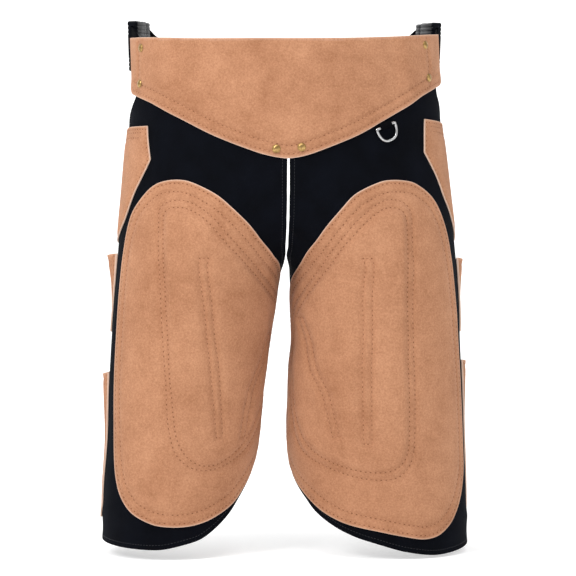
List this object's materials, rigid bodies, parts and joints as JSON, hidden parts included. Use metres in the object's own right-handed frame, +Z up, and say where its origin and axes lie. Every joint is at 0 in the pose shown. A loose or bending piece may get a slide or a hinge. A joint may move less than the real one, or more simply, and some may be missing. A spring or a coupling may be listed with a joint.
{
  "type": "farrier apron",
  "caption": "Worn farrier apron: suede waist panel, split canvas leg panels with stitched suede thigh patches, side pockets, webbing belt with side buckles and a hanging D-ring.",
  "frame": {"origin": "middle of the waist ring at the height of the waist panel's belt, where a wearer's waist carries the apron", "axes": "+Z up along the garment's length, +X towards the wearer's left, -Y towards the front"},
  "size_m": [0.4854, 0.2798, 0.7011],
  "materials": {
    "suede": "napped tan suede",
    "canvas": "black cotton duck",
    "webbing": "black woven webbing",
    "plastic": "black moulded plastic",
    "brass": "domed brass",
    "plated_steel": "plated wire"
  },
  "bodies": {
    "apron": {"waist_panel": "suede", "right_leg_panel": "canvas", "left_leg_panel": "canvas", "right_thigh_patch": "suede", "left_thigh_patch": "suede", "right_hip_panel": "suede", "left_hip_panel": "suede", "right_upper_pocket": "suede", "right_lower_pocket": "suede", "left_upper_pocket": "suede", "left_lower_pocket": "suede", "right_belt_end": "webbing", "left_belt_end": "webbing", "back_belt": "webbing", "right_belt_buckle_socket": "plastic", "right_belt_buckle_prongs": "plastic", "left_belt_buckle_socket": "plastic", "left_belt_buckle_prongs": "plastic", "right_leg_strap_outer": "webbing", "right_leg_strap_inner": "webbing", "left_leg_strap_outer": "webbing", "left_leg_strap_inner": "webbing", "right_leg_buckle_socket": "plastic", "right_leg_buckle_prongs": "plastic", "left_leg_buckle_socket": "plastic", "left_leg_buckle_prongs": "plastic", "rivet_1": "brass", "rivet_2": "brass", "rivet_3": "brass", "rivet_4": "brass", "rivet_5": "brass", "rivet_6": "brass", "d_ring_tab": "webbing"},
    "d_ring": {"d_ring": "plated_steel"}
  },
  "joints": [
    {"name": "d_ring_swing", "type": "hinge", "parent": "apron", "child": "d_ring", "pos_m": [0.12498, -0.11431, -0.081], "axis": [-0.836, -0.3945, -0.3814], "range_deg": [0, 150]}
  ]
}
